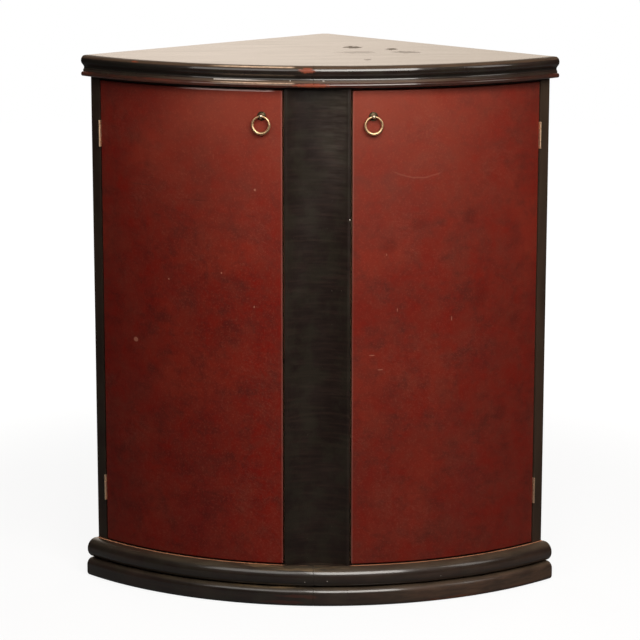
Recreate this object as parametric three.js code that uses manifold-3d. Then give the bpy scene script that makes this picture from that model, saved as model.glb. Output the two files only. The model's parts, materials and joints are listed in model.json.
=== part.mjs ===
// Corner cupboard with a quarter-round front: two curved doors hang either side of a fixed,
// coved centre stile, between a moulded base and a moulded cornice.
// Millimetres, +Z up. The front faces -Y and the room's corner lies behind, at +Y.
import * as THREE from 'three';
import { mergeVertices } from 'three/addons/utils/BufferGeometryUtils.js';
import Module from 'manifold-3d';

const wasm = await Module();
wasm.setup();

// Carcass. The plan is a quarter circle about the room's corner, and radii are measured from there.
const overallHeight = 915;
const frontRadius = 552;
const cornerFlat = 10;
const topThickness = 20;
const bottomThickness = 20;
const bottomProud = 3;
const sideStripWidth = 24;
const sidePostDepth = 45;
const postArris = 2.5;
const rearPostSize = 40;
const backPanelThickness = 6;
const rebateWidth = 10;
const railHeight = 30;
const shelfThickness = 18;
const shelfSetback = 27;
const headerHeight = 19.5;
const headerDepth = 52;

// Base. The foot moulding reaches furthest past the door faces, the half-round over it a little less.
const baseHeight = 66;
const baseProjection = 25;
const torusHeight = 34;
const torusSetback = 1.5;
const footRound = 12;
const footLowerRound = 8;
const plinthRailThickness = 20;
const seamShift = 6;

// Cornice
const corniceProjection = 19;
const corniceHeight = 37;
const corniceTorusRadius = 8.5;
const corniceWaistDepth = 6.2;
const corniceWaistDrop = 22;
const corniceLipDrop = 25;
const corniceLip = 0.8;
const corniceBeadRadius = 4.2;

// Centre stile and the board behind it
const stileWidth = 110;
const stileThickness = 26;
const stileFillet = 5;
const coveDepth = 15;
const backboardWidth = 144;
const backboardThickness = 16;

// Doors
const doorThickness = 20;
const facingThickness = 1.5;
const doorTopGap = 2;
const doorBottomGap = 2;
const hingeSideGap = 2;
const stileSideGap = 2.5;

// Butt hinges
const hingeLength = 45;
const upperHingeDrop = 90.5;
const lowerHingeRise = 93;
const knuckleRadius = 1.7;
const hingePinRadius = 0.8;
const hingePinClearance = 0.1;
const leafThickness = 1.2;
const leafWidth = 16;
const leafStandOut = 0.7;
const knuckleShares = [0.25, 0.5, 0.25];

// Ring pulls. The eye is the cross hole in the post's ball head, and the ring hangs in it.
const pullInset = 34.5;
const pullDrop = 42.5;
const eyeStandOff = 7;
const ballRadius = 3.75;
const eyeRadius = 2.15;
const postNeckRadius = 2.2;
const shankRadius = 2;
const shankTail = 7;
const rosetteRadius = 7.5;
const rosetteThickness = 2.2;
const rosetteRim = 1.1;
const ringCentreRadius = 14.2;
const ringTopRadius = 1.5;
const ringBottomRadius = 2.9;
const nutAcrossFlats = 7;
const nutThickness = 3.2;

// Magnetic catches under the header, and their strike plates on the doors
const catchInset = 65;
const catchCaseWidth = 26;
const catchCaseDepth = 16;
const catchHeight = 13;
const catchEarLength = 9;
const catchEarDepth = 12;
const catchEarThickness = 2.5;
const catchHoleRadius = 1.8;
const strikeWidth = 34;
const strikeHeight = 12;
const strikeThickness = 1.2;
const strikeHoleInset = 4;

// Gaps and drawing steps
const seatGap = 0.3;
const cutOverrun = 2;
const wallAngle = Math.PI / 4;
const arcStep = THREE.MathUtils.degToRad(3);
const barrelSides = 16;
const boreSides = 12;
const ringSteps = 28;
const ringSides = 8;
const samePoint = 1e-4;

// Levels and radii worked out from the sizes above
const baseRadius = frontRadius + baseProjection;
const corniceRadius = frontRadius + corniceProjection;
const bottomRadius = frontRadius + bottomProud;
const doorBackRadius = frontRadius - doorThickness;
const topUnderside = overallHeight - topThickness;
const headerUnderside = topUnderside - headerHeight;
const doorTop = headerUnderside - doorTopGap;
const doorBottom = baseHeight + doorBottomGap;
const plinthTop = baseHeight - bottomThickness;
const chordSag = frontRadius * (1 - Math.cos(arcStep / 2));
const seamAngle = -seamShift / baseRadius;

// Finishes
const blackLacquer = { color: 0x1c1715, roughness: 0.35, metalness: 0 };
const redHide = { color: 0x6b1f18, roughness: 0.5, metalness: 0 };
const rawWood = { color: 0x8a6a48, roughness: 0.8, metalness: 0 };
const agedBrass = { color: 0xa8834a, roughness: 0.35, metalness: 1 };
const darkBrass = { color: 0x4a3a26, roughness: 0.5, metalness: 1 };
const zincSteel = { color: 0x8f9194, roughness: 0.4, metalness: 1 };
const brownPlastic = { color: 0x3a2a20, roughness: 0.6, metalness: 0 };

const cupboard = new THREE.Group();
const fromCorner = new THREE.Group();
fromCorner.position.y = (baseRadius + cornerFlat / 2) / 2;
cupboard.add(fromCorner);

function addPiece(parent, name, geometry, finish) {
  const mesh = new THREE.Mesh(geometry, new THREE.MeshStandardMaterial(finish));
  mesh.name = name;
  parent.add(mesh);
  return mesh;
}

function sideName(side) {
  return side < 0 ? 'left' : 'right';
}

// Solids for cutting and joining
function toSolid(geometry) {
  const bare = geometry.clone();
  bare.deleteAttribute('normal');
  bare.deleteAttribute('uv');
  const merged = mergeVertices(bare);
  const corners = [];
  for (let i = 0; i < merged.index.count; i += 3) {
    const triangle = [0, 1, 2].map((j) => merged.index.getX(i + j));
    if (new Set(triangle).size === 3) {
      corners.push(...triangle);
    }
  }
  const vertProperties = new Float32Array(merged.attributes.position.array);
  const triVerts = new Uint32Array(corners);
  return new wasm.Manifold(new wasm.Mesh({ numProp: 3, vertProperties, triVerts }));
}

function toGeometry(solid) {
  const mesh = solid.getMesh();
  const geometry = new THREE.BufferGeometry();
  geometry.setAttribute('position', new THREE.BufferAttribute(mesh.vertProperties, mesh.numProp));
  geometry.setIndex(new THREE.BufferAttribute(mesh.triVerts, 1));
  geometry.computeVertexNormals();
  return geometry;
}

function joined(geometries) {
  return toGeometry(geometries.map(toSolid).reduce((sum, solid) => sum.add(solid)));
}

function cutAway(geometry, cutters) {
  return toGeometry(cutters.map(toSolid).reduce((rest, cutter) => rest.subtract(cutter), toSolid(geometry)));
}

// Plan points. An angle is counted from straight ahead, positive to the right.
function planPoint(radius, angle) {
  return new THREE.Vector2(radius * Math.sin(angle), -radius * Math.cos(angle));
}

// A point so far along one wall from the room's corner, and so far inward, square to that wall
function wallPoint(side, along, inward) {
  const across = along * Math.sin(wallAngle) - inward * Math.cos(wallAngle);
  const forward = along * Math.cos(wallAngle) + inward * Math.sin(wallAngle);
  return new THREE.Vector2(side * across, -forward);
}

// Where a line parallel to a wall crosses a circle about the room's corner
function alongAtRadius(radius, inward) {
  return Math.sqrt(radius * radius - inward * inward);
}

function angleOffWall(radius, inward) {
  return wallAngle - Math.asin(inward / radius);
}

function arcPoints(radius, fromAngle, toAngle) {
  const steps = Math.max(1, Math.round(Math.abs(toAngle - fromAngle) / arcStep));
  const points = [];
  for (let i = 0; i <= steps; i += 1) {
    points.push(planPoint(radius, THREE.MathUtils.lerp(fromAngle, toAngle, i / steps)));
  }
  return points;
}

function circlePoints(centre, radius, sides) {
  const points = [];
  for (let i = 0; i < sides; i += 1) {
    const turn = 2 * Math.PI * i / sides;
    points.push(new THREE.Vector2(centre.x + radius * Math.cos(turn), centre.y + radius * Math.sin(turn)));
  }
  return points;
}

// The points of a path, without those that fall on the one before or on the first
function pathPoints(path, divisions) {
  const points = path.getPoints(divisions);
  return points.filter((point, index) => {
    const before = points[(index + points.length - 1) % points.length];
    return point.distanceTo(before) > samePoint;
  });
}

function uprightBoard(outline, bottom, top, holes = []) {
  const shape = new THREE.Shape(outline);
  shape.holes = holes.map((points) => new THREE.Path(points));
  const geometry = new THREE.ExtrudeGeometry(shape, { depth: top - bottom, bevelEnabled: false });
  geometry.translate(0, 0, bottom);
  return geometry;
}

function wallStrip(side, alongFrom, alongTo, inwardFrom, inwardTo) {
  return [
    wallPoint(side, alongFrom, inwardFrom),
    wallPoint(side, alongTo, inwardFrom),
    wallPoint(side, alongTo, inwardTo),
    wallPoint(side, alongFrom, inwardTo),
  ];
}

// The flat that replaces the point where the two wall planes would meet
function cornerFlatPoints() {
  const half = cornerFlat / 2;
  return [new THREE.Vector2(half, -half), new THREE.Vector2(-half, -half)];
}

function sectorOutline(radius) {
  return [...arcPoints(radius, -wallAngle, wallAngle), ...cornerFlatPoints()];
}

// A section of (radius, height) points swept about the room's corner between two angles
function sweepSection(section, fromAngle, toAngle) {
  const ordered = THREE.ShapeUtils.isClockWise(section) ? [...section].reverse() : section;
  const count = ordered.length;
  const steps = Math.max(1, Math.round((toAngle - fromAngle) / arcStep));
  const positions = [];
  const indices = [];
  for (let i = 0; i <= steps; i += 1) {
    const angle = THREE.MathUtils.lerp(fromAngle, toAngle, i / steps);
    for (const point of ordered) {
      const plan = planPoint(point.x, angle);
      positions.push(plan.x, plan.y, point.y);
    }
  }
  for (let i = 0; i < steps; i += 1) {
    for (let j = 0; j < count; j += 1) {
      const here = i * count + j;
      const next = i * count + (j + 1) % count;
      indices.push(here, here + count, next, next, here + count, next + count);
    }
  }
  for (const [a, b, c] of THREE.ShapeUtils.triangulateShape(ordered, [])) {
    indices.push(a, b, c);
    indices.push(steps * count + a, steps * count + c, steps * count + b);
  }
  const geometry = new THREE.BufferGeometry();
  geometry.setAttribute('position', new THREE.Float32BufferAttribute(positions, 3));
  geometry.setIndex(indices);
  geometry.computeVertexNormals();
  return geometry;
}

// Adds a moulding in two lengths that butt near the middle of the front
function addMouldingPair(name, section) {
  const halfSeam = seatGap / 2 / baseRadius;
  const leftLength = sweepSection(section, -wallAngle, seamAngle - halfSeam);
  const rightLength = sweepSection(section, seamAngle + halfSeam, wallAngle);
  addPiece(fromCorner, `${name}_left`, leftLength, blackLacquer);
  addPiece(fromCorner, `${name}_right`, rightLength, blackLacquer);
}

// Base: a plinth of three rails carries the bottom board, with two mouldings round the front
function addPlinth() {
  const frontRail = [
    ...arcPoints(bottomRadius, -wallAngle, wallAngle),
    ...arcPoints(bottomRadius - plinthRailThickness, wallAngle, -wallAngle),
  ];
  addPiece(fromCorner, 'plinth_rail_front', uprightBoard(frontRail, 0, plinthTop), blackLacquer);
  const behindFront = bottomRadius - plinthRailThickness - seatGap;
  const railEnd = alongAtRadius(behindFront, plinthRailThickness) - chordSag;
  const flatAlong = cornerFlat * Math.SQRT1_2;
  const leftRail = [
    wallPoint(-1, flatAlong, 0),
    wallPoint(-1, railEnd, 0),
    wallPoint(-1, railEnd, plinthRailThickness),
    wallPoint(-1, 0, plinthRailThickness),
    wallPoint(-1, 0, flatAlong),
  ];
  const rightRail = wallStrip(1, plinthRailThickness + seatGap, railEnd, 0, plinthRailThickness);
  addPiece(fromCorner, 'plinth_rail_left', uprightBoard(leftRail, 0, plinthTop), rawWood);
  addPiece(fromCorner, 'plinth_rail_right', uprightBoard(rightRail, 0, plinthTop), rawWood);
}

function addBaseMouldings() {
  const back = bottomRadius + seatGap;
  const noseRadius = torusHeight / 2;
  const noseCentre = baseRadius - torusSetback - noseRadius;
  const torusFoot = baseHeight - torusHeight;
  const torus = new THREE.Path();
  torus.moveTo(back, baseHeight);
  torus.lineTo(noseCentre, baseHeight);
  torus.absarc(noseCentre, baseHeight - noseRadius, noseRadius, Math.PI / 2, -Math.PI / 2, true);
  torus.lineTo(back, torusFoot);
  addMouldingPair('base_torus', pathPoints(torus, 4));

  const foot = new THREE.Path();
  foot.moveTo(back, torusFoot);
  foot.lineTo(baseRadius - footRound, torusFoot);
  foot.absarc(baseRadius - footRound, torusFoot - footRound, footRound, Math.PI / 2, 0, true);
  foot.lineTo(baseRadius, footLowerRound);
  foot.absarc(baseRadius - footLowerRound, footLowerRound, footLowerRound, 0, -Math.PI / 2, true);
  foot.lineTo(back, 0);
  addMouldingPair('base_foot_moulding', pathPoints(foot, 3));
}

function addBoards() {
  const bottomBoard = uprightBoard(sectorOutline(bottomRadius), plinthTop, baseHeight);
  addPiece(fromCorner, 'bottom_board', bottomBoard, blackLacquer);
  const topBoard = uprightBoard(sectorOutline(frontRadius), topUnderside, overallHeight);
  addPiece(fromCorner, 'top_board', topBoard, blackLacquer);
}

// Cornice: a torus on a hollow neck that flares out to a small lip, over a bead
function addCornice() {
  const back = frontRadius + seatGap;
  const torusR = corniceRadius - corniceTorusRadius;
  const torusZ = overallHeight - corniceTorusRadius;
  const waistR = corniceRadius - corniceWaistDepth;
  const waistZ = overallHeight - corniceWaistDrop;
  const flareR = waistR + corniceLip;
  const lipR = flareR + corniceLip;
  const lipZ = overallHeight - corniceLipDrop;
  const beadR = corniceRadius - corniceBeadRadius;
  const beadZ = overallHeight - corniceHeight + corniceBeadRadius;
  const beadTop = beadZ + corniceBeadRadius;
  const torusEnd = -Math.PI / 4;
  const torusEndR = torusR + corniceTorusRadius * Math.cos(torusEnd);
  const torusEndZ = torusZ + corniceTorusRadius * Math.sin(torusEnd);
  const section = new THREE.Path();
  section.moveTo(back, overallHeight);
  section.lineTo(torusR, overallHeight);
  section.absarc(torusR, torusZ, corniceTorusRadius, Math.PI / 2, torusEnd, true);
  section.quadraticCurveTo(waistR, (torusEndZ + waistZ) / 2, waistR, waistZ);
  section.quadraticCurveTo(waistR, lipZ, flareR, lipZ);
  section.lineTo(lipR, lipZ);
  section.lineTo(lipR, lipZ - corniceLip);
  section.quadraticCurveTo(lipR, beadTop, beadR, beadTop);
  section.absarc(beadR, beadZ, corniceBeadRadius, Math.PI / 2, -Math.PI / 2, true);
  section.lineTo(back, beadZ - corniceBeadRadius);
  addMouldingPair('cornice', pathPoints(section, 3));
}

// Posts and thin panels along the two walls. The panels lie in rebates, flush with the posts.
function addWallFraming() {
  const rebateDepth = backPanelThickness + seatGap;
  const rebateStart = rearPostSize - rebateWidth;
  const rearPost = [
    ...cornerFlatPoints().reverse(),
    wallPoint(1, rebateStart, 0),
    wallPoint(1, rebateStart, rebateDepth),
    wallPoint(1, rearPostSize, rebateDepth),
    wallPoint(1, rearPostSize, rearPostSize),
    wallPoint(-1, rearPostSize, rebateDepth),
    wallPoint(-1, rebateStart, rebateDepth),
    wallPoint(-1, rebateStart, 0),
  ];
  addPiece(fromCorner, 'rear_post', uprightBoard(rearPost, baseHeight, topUnderside), rawWood);

  const postBack = frontRadius - sidePostDepth;
  for (const side of [-1, 1]) {
    const stripEdge = alongAtRadius(frontRadius, sideStripWidth);
    const arrisAlong = alongAtRadius(frontRadius, postArris);
    const post = [
      wallPoint(side, postBack, rebateDepth),
      wallPoint(side, postBack + rebateWidth, rebateDepth),
      wallPoint(side, postBack + rebateWidth, 0),
      wallPoint(side, frontRadius - postArris, 0),
      wallPoint(side, arrisAlong, postArris),
      wallPoint(side, stripEdge, sideStripWidth),
      wallPoint(side, postBack, sideStripWidth),
    ];
    const mortises = hingeLevels().map((level) => leafMortise(side, level, sideStripWidth, -1));
    const postGeometry = cutAway(uprightBoard(post, baseHeight, topUnderside), mortises);
    addPiece(fromCorner, `side_post_${sideName(side)}`, postGeometry, blackLacquer);

    const panelEnd = postBack + rebateWidth - seatGap;
    const panel = wallStrip(side, rebateStart + seatGap, panelEnd, 0, backPanelThickness);
    const panelGeometry = uprightBoard(panel, baseHeight, topUnderside);
    addPiece(fromCorner, `back_panel_${sideName(side)}`, panelGeometry, rawWood);

    const rail = wallStrip(side, rearPostSize + seatGap, postBack - seatGap, rebateDepth, sideStripWidth);
    for (const [name, railTop] of railLevels()) {
      const railGeometry = uprightBoard(rail, railTop - railHeight, railTop);
      addPiece(fromCorner, `${name}_${sideName(side)}`, railGeometry, rawWood);
    }
  }
}

// Two shelves divide the inside into three equal spaces
function shelfUndersides() {
  const clear = (topUnderside - baseHeight - 2 * shelfThickness) / 3;
  return [baseHeight + clear, baseHeight + 2 * clear + shelfThickness];
}

function railLevels() {
  const [lowerShelf, upperShelf] = shelfUndersides();
  return [
    ['floor_rail', baseHeight + railHeight],
    ['lower_shelf_rail', lowerShelf],
    ['upper_shelf_rail', upperShelf],
    ['top_rail', topUnderside],
  ];
}

function addShelves() {
  const radius = doorBackRadius - shelfSetback;
  const wallGap = backPanelThickness + seatGap;
  const notch = rearPostSize + seatGap;
  const edgeAngle = angleOffWall(radius, wallGap);
  const outline = [
    ...arcPoints(radius, -edgeAngle, edgeAngle),
    wallPoint(1, notch, wallGap),
    wallPoint(1, notch, notch),
    wallPoint(-1, notch, wallGap),
  ];
  const [lower, upper] = shelfUndersides();
  addPiece(fromCorner, 'lower_shelf', uprightBoard(outline, lower, lower + shelfThickness), rawWood);
  addPiece(fromCorner, 'upper_shelf', uprightBoard(outline, upper, upper + shelfThickness), rawWood);
}

// Header rail: cut to the curve, over the doors and the stile
function addHeaderRail() {
  const inward = sideStripWidth + seatGap;
  const outerAngle = angleOffWall(frontRadius, inward);
  const innerAngle = angleOffWall(frontRadius - headerDepth, inward);
  const outline = [
    ...arcPoints(frontRadius, -outerAngle, outerAngle),
    ...arcPoints(frontRadius - headerDepth, innerAngle, -innerAngle),
  ];
  addPiece(fromCorner, 'header_rail', uprightBoard(outline, headerUnderside, topUnderside), blackLacquer);
}

// Centre stile: flat fillets at both edges of a long shallow cove, with a wider board behind it
function addCentreStile() {
  const half = stileWidth / 2;
  const coveHalf = half - stileFillet;
  const backY = -(frontRadius - stileThickness);
  const edgeY = -Math.sqrt(frontRadius * frontRadius - half * half);
  const lipY = -Math.sqrt(frontRadius * frontRadius - coveHalf * coveHalf);
  const coveRadius = (coveHalf * coveHalf + coveDepth * coveDepth) / (2 * coveDepth);
  const coveAngle = Math.asin(coveHalf / coveRadius);
  const cove = new THREE.Path();
  const coveCentreY = lipY + coveDepth - coveRadius;
  cove.absarc(0, coveCentreY, coveRadius, Math.PI / 2 + coveAngle, Math.PI / 2 - coveAngle, true);
  const outline = [
    new THREE.Vector2(-half, edgeY),
    ...cove.getPoints(8),
    new THREE.Vector2(half, edgeY),
    new THREE.Vector2(half, backY),
    new THREE.Vector2(-half, backY),
  ];
  addPiece(fromCorner, 'centre_stile', uprightBoard(outline, baseHeight, headerUnderside), blackLacquer);

  const boardHalf = backboardWidth / 2;
  const board = [
    new THREE.Vector2(-boardHalf, backY),
    new THREE.Vector2(boardHalf, backY),
    new THREE.Vector2(boardHalf, backY + backboardThickness),
    new THREE.Vector2(-boardHalf, backY + backboardThickness),
  ];
  addPiece(fromCorner, 'stile_backboard', uprightBoard(board, baseHeight, headerUnderside), rawWood);
}

// Outline of a curved door layer. It ends square to the wall side and parallel to the stile's side,
// so that both door gaps are even.
function doorOutline(side, outerRadius, innerRadius, inset) {
  const wallSide = sideStripWidth + hingeSideGap + inset;
  const stileSide = stileWidth / 2 + stileSideGap + inset;
  const wallEnd = (radius) => angleOffWall(radius, wallSide);
  const stileEnd = (radius) => Math.asin(stileSide / radius);
  const outer = arcPoints(outerRadius, wallEnd(outerRadius), stileEnd(outerRadius));
  const inner = arcPoints(innerRadius, stileEnd(innerRadius), wallEnd(innerRadius));
  return [...outer, ...inner].map((point) => new THREE.Vector2(side * point.x, point.y));
}

function doorLayer(side, outerRadius, innerRadius, inset) {
  const outline = doorOutline(side, outerRadius, innerRadius, inset);
  return uprightBoard(outline, doorBottom + inset, doorTop - inset);
}

function pullAngle(side) {
  return side * (stileWidth / 2 + stileSideGap + pullInset) / frontRadius;
}

// A round hole through the door along a radius, for the shank of the pull
function pullHole(side) {
  const length = doorThickness + 2 * cutOverrun;
  const hole = new THREE.CylinderGeometry(shankRadius + seatGap, shankRadius + seatGap, length, boreSides);
  hole.translate(0, -(frontRadius - doorThickness / 2), doorTop - pullDrop);
  hole.rotateZ(pullAngle(side));
  return hole;
}

// Doors: a curved core, and a thin facing over its front that is turned over all four edges
function addDoors() {
  for (const side of [-1, 1]) {
    const behindFacing = frontRadius - facingThickness;
    const cavity = doorLayer(side, behindFacing, doorBackRadius - cutOverrun, facingThickness);
    const edge = sideStripWidth + hingeSideGap;
    const mortises = hingeLevels().map((level) => leafMortise(side, level, edge, 1));
    const block = doorLayer(side, frontRadius, doorBackRadius, 0);
    const facing = cutAway(block, [cavity, pullHole(side), ...mortises]);
    addPiece(fromCorner, `door_facing_${sideName(side)}`, facing, redHide);

    const core = doorLayer(side, behindFacing - seatGap, doorBackRadius, facingThickness + seatGap);
    const drilled = cutAway(core, [pullHole(side)]);
    addPiece(fromCorner, `door_core_${sideName(side)}`, drilled, rawWood);
  }
}

// Hinges. The pin stands just proud of the front, over the middle of the gap between post and door.
function hingeLevels() {
  return [doorTop - upperHingeDrop, doorBottom + lowerHingeRise];
}

function hingeLine() {
  const inward = sideStripWidth + hingeSideGap / 2;
  const along = alongAtRadius(frontRadius, inward) + knuckleRadius + seatGap;
  return { along, inward };
}

// A shallow housing for one leaf, let into the face that lies at this distance from the wall.
// It goes towards the wall where the way is -1, and away from it where the way is 1.
function leafMortise(side, level, face, way) {
  const { along } = hingeLine();
  const leafEnd = along - knuckleRadius - seatGap - leafWidth;
  const depth = leafThickness - leafStandOut + seatGap;
  const open = face - way * cutOverrun;
  const housing = wallStrip(side, leafEnd - seatGap, along + cutOverrun, open, face + way * depth);
  return uprightBoard(housing, level - hingeLength / 2 - seatGap, level + hingeLength / 2 + seatGap);
}

// The knuckles of one leaf, as heights from the hinge's lower end
function knuckleSpans(isDoorLeaf) {
  const spans = [];
  let start = 0;
  knuckleShares.forEach((share, index) => {
    const end = start + share * hingeLength;
    const low = index === 0 ? start : start + seatGap / 2;
    const high = index === knuckleShares.length - 1 ? end : end - seatGap / 2;
    if ((index % 2 === 1) === isDoorLeaf) {
      spans.push([low, high]);
    }
    start = end;
  });
  return spans;
}

function hingeLeaf(side, level, face, way, isDoorLeaf) {
  const { along, inward } = hingeLine();
  const centre = wallPoint(side, along, inward);
  const bottom = level - hingeLength / 2;
  const plateTop = along - knuckleRadius - seatGap;
  const near = face - way * leafStandOut;
  const far = near + way * leafThickness;
  const flat = wallStrip(side, plateTop - leafWidth, plateTop, near, far);
  const plate = uprightBoard(flat, bottom, bottom + hingeLength);
  const neck = wallStrip(side, plateTop - leafThickness, along - hingePinRadius, near, far);
  const parts = [plate];
  for (const [low, high] of knuckleSpans(isDoorLeaf)) {
    parts.push(uprightBoard(neck, bottom + low, bottom + high));
    parts.push(uprightBoard(circlePoints(centre, knuckleRadius, barrelSides), bottom + low, bottom + high));
  }
  const boreOutline = circlePoints(centre, hingePinRadius + hingePinClearance, barrelSides);
  const bore = uprightBoard(boreOutline, bottom - cutOverrun, bottom + hingeLength + cutOverrun);
  return cutAway(joined(parts), [bore]);
}

function addHinges() {
  const names = ['upper', 'lower'];
  for (const side of [-1, 1]) {
    hingeLevels().forEach((level, index) => {
      const name = `${names[index]}_hinge_${sideName(side)}`;
      const frameLeaf = hingeLeaf(side, level, sideStripWidth, -1, false);
      const doorLeaf = hingeLeaf(side, level, sideStripWidth + hingeSideGap, 1, true);
      const { along, inward } = hingeLine();
      const pinOutline = circlePoints(wallPoint(side, along, inward), hingePinRadius, barrelSides);
      const pin = uprightBoard(pinOutline, level - hingeLength / 2, level + hingeLength / 2);
      addPiece(fromCorner, `${name}_frame_leaf`, frameLeaf, agedBrass);
      addPiece(fromCorner, `${name}_door_leaf`, doorLeaf, agedBrass);
      addPiece(fromCorner, `${name}_pin`, pin, agedBrass);
    });
  }
}

// A round piece turned about the pull's axis. Profile points are (radius, distance out from the face).
function turnedOutward(profile, sides) {
  const geometry = new THREE.LatheGeometry(profile, sides);
  geometry.rotateX(Math.PI);
  return geometry;
}

function pullRosette() {
  const bore = postNeckRadius + seatGap;
  const profile = new THREE.Path();
  profile.moveTo(bore, seatGap);
  profile.lineTo(rosetteRadius, seatGap);
  profile.lineTo(rosetteRadius, seatGap + rosetteRim);
  profile.quadraticCurveTo(rosetteRadius - rosetteRim, rosetteThickness, bore, rosetteThickness);
  profile.lineTo(bore, seatGap);
  return turnedOutward(profile.getPoints(3), barrelSides);
}

function pullPost() {
  const neckAngle = Math.asin(postNeckRadius / ballRadius);
  const profile = new THREE.Path();
  profile.moveTo(0, -(doorThickness + shankTail));
  profile.lineTo(shankRadius, -(doorThickness + shankTail));
  profile.lineTo(shankRadius, seatGap);
  profile.lineTo(postNeckRadius, seatGap);
  profile.lineTo(postNeckRadius, eyeStandOff - ballRadius * Math.cos(neckAngle));
  profile.absarc(0, eyeStandOff, ballRadius, -Math.PI / 2 + neckAngle, Math.PI / 2, false);
  const post = turnedOutward(profile.getPoints(4), barrelSides);
  const eye = new THREE.CylinderGeometry(eyeRadius, eyeRadius, 2 * (ballRadius + cutOverrun), boreSides);
  eye.rotateZ(Math.PI / 2);
  eye.translate(0, -eyeStandOff, 0);
  return cutAway(post, [eye]);
}

// The ring hangs from the eye. It is thin where it passes through and thickest at the bottom.
function pullRing() {
  const positions = [];
  const indices = [];
  for (let i = 0; i < ringSteps; i += 1) {
    const turn = 2 * Math.PI * i / ringSteps;
    const swell = (1 - Math.cos(turn)) / 2;
    const tube = THREE.MathUtils.lerp(ringTopRadius, ringBottomRadius, swell);
    for (let j = 0; j < ringSides; j += 1) {
      const around = 2 * Math.PI * j / ringSides;
      const reach = ringCentreRadius + tube * Math.cos(around);
      positions.push(
        reach * Math.sin(turn),
        -eyeStandOff - tube * Math.sin(around),
        reach * Math.cos(turn) - ringCentreRadius,
      );
      const here = i * ringSides + j;
      const beside = i * ringSides + (j + 1) % ringSides;
      const ahead = ((i + 1) % ringSteps) * ringSides + j;
      const across = ((i + 1) % ringSteps) * ringSides + (j + 1) % ringSides;
      indices.push(here, beside, ahead, beside, across, ahead);
    }
  }
  const geometry = new THREE.BufferGeometry();
  geometry.setAttribute('position', new THREE.Float32BufferAttribute(positions, 3));
  geometry.setIndex(indices);
  geometry.computeVertexNormals();
  return geometry;
}

function pullNut() {
  const corner = nutAcrossFlats / Math.sqrt(3);
  const hexagon = circlePoints(new THREE.Vector2(0, 0), corner, 6);
  const bore = circlePoints(new THREE.Vector2(0, 0), shankRadius + seatGap, boreSides);
  const nut = uprightBoard(hexagon, 0, nutThickness, [bore]);
  nut.rotateX(-Math.PI / 2);
  nut.translate(0, doorThickness + seatGap + chordSag, 0);
  return nut;
}

function addPulls() {
  for (const side of [-1, 1]) {
    const turned = new THREE.Group();
    turned.rotation.z = pullAngle(side);
    const onFace = new THREE.Group();
    onFace.position.set(0, -frontRadius, doorTop - pullDrop);
    turned.add(onFace);
    fromCorner.add(turned);
    addPiece(onFace, `pull_${sideName(side)}_rosette`, pullRosette(), darkBrass);
    addPiece(onFace, `pull_${sideName(side)}_post`, pullPost(), agedBrass);
    addPiece(onFace, `pull_${sideName(side)}_ring`, pullRing(), agedBrass);
    addPiece(onFace, `pull_${sideName(side)}_nut`, pullNut(), agedBrass);
  }
}

// Catch: a case with a thin screw ear at each end, hung under the header and facing the strike
function catchCase(faceRadius) {
  const caseHalf = catchCaseWidth / 2;
  const earEnd = caseHalf + catchEarLength;
  const caseOutline = [
    new THREE.Vector2(-caseHalf, -faceRadius),
    new THREE.Vector2(caseHalf, -faceRadius),
    new THREE.Vector2(caseHalf, -faceRadius + catchCaseDepth),
    new THREE.Vector2(-caseHalf, -faceRadius + catchCaseDepth),
  ];
  const earBack = -faceRadius + catchCaseDepth;
  const earFront = earBack - catchEarDepth;
  const earOutline = [
    new THREE.Vector2(-earEnd, earFront),
    new THREE.Vector2(earEnd, earFront),
    new THREE.Vector2(earEnd, earBack),
    new THREE.Vector2(-earEnd, earBack),
  ];
  const holes = [-1, 1].map((end) => {
    const centre = new THREE.Vector2(end * (caseHalf + catchEarLength / 2), (earFront + earBack) / 2);
    return circlePoints(centre, catchHoleRadius, boreSides);
  });
  const body = uprightBoard(caseOutline, headerUnderside - catchHeight, headerUnderside);
  const ears = uprightBoard(earOutline, headerUnderside - catchEarThickness, headerUnderside, holes);
  return joined([body, ears]);
}

function strikePlate(backRadius) {
  const half = strikeWidth / 2;
  const outline = [
    new THREE.Vector2(-half, -strikeHeight / 2),
    new THREE.Vector2(half, -strikeHeight / 2),
    new THREE.Vector2(half, strikeHeight / 2),
    new THREE.Vector2(-half, strikeHeight / 2),
  ];
  const holes = [-1, 1].map((end) => {
    const centre = new THREE.Vector2(end * (half - strikeHoleInset), 0);
    return circlePoints(centre, catchHoleRadius, boreSides);
  });
  const plate = uprightBoard(outline, 0, strikeThickness, holes);
  plate.rotateX(-Math.PI / 2);
  plate.translate(0, -backRadius, doorTop - strikeHeight / 2 - facingThickness);
  return plate;
}

function addCatches() {
  const strikeBack = alongAtRadius(doorBackRadius - chordSag, strikeWidth / 2) - seatGap;
  const catchFace = strikeBack - strikeThickness - seatGap;
  for (const side of [-1, 1]) {
    const turned = new THREE.Group();
    turned.rotation.z = side * (stileWidth / 2 + stileSideGap + catchInset) / doorBackRadius;
    fromCorner.add(turned);
    addPiece(turned, `catch_case_${sideName(side)}`, catchCase(catchFace), brownPlastic);
    addPiece(turned, `catch_strike_${sideName(side)}`, strikePlate(strikeBack), zincSteel);
  }
}

addPlinth();
addBoards();
addBaseMouldings();
addWallFraming();
addShelves();
addHeaderRail();
addCornice();
addCentreStile();
addDoors();
addHinges();
addPulls();
addCatches();

export default cupboard;
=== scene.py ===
import json
import math

import bpy
from mathutils import Matrix, Vector

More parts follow.
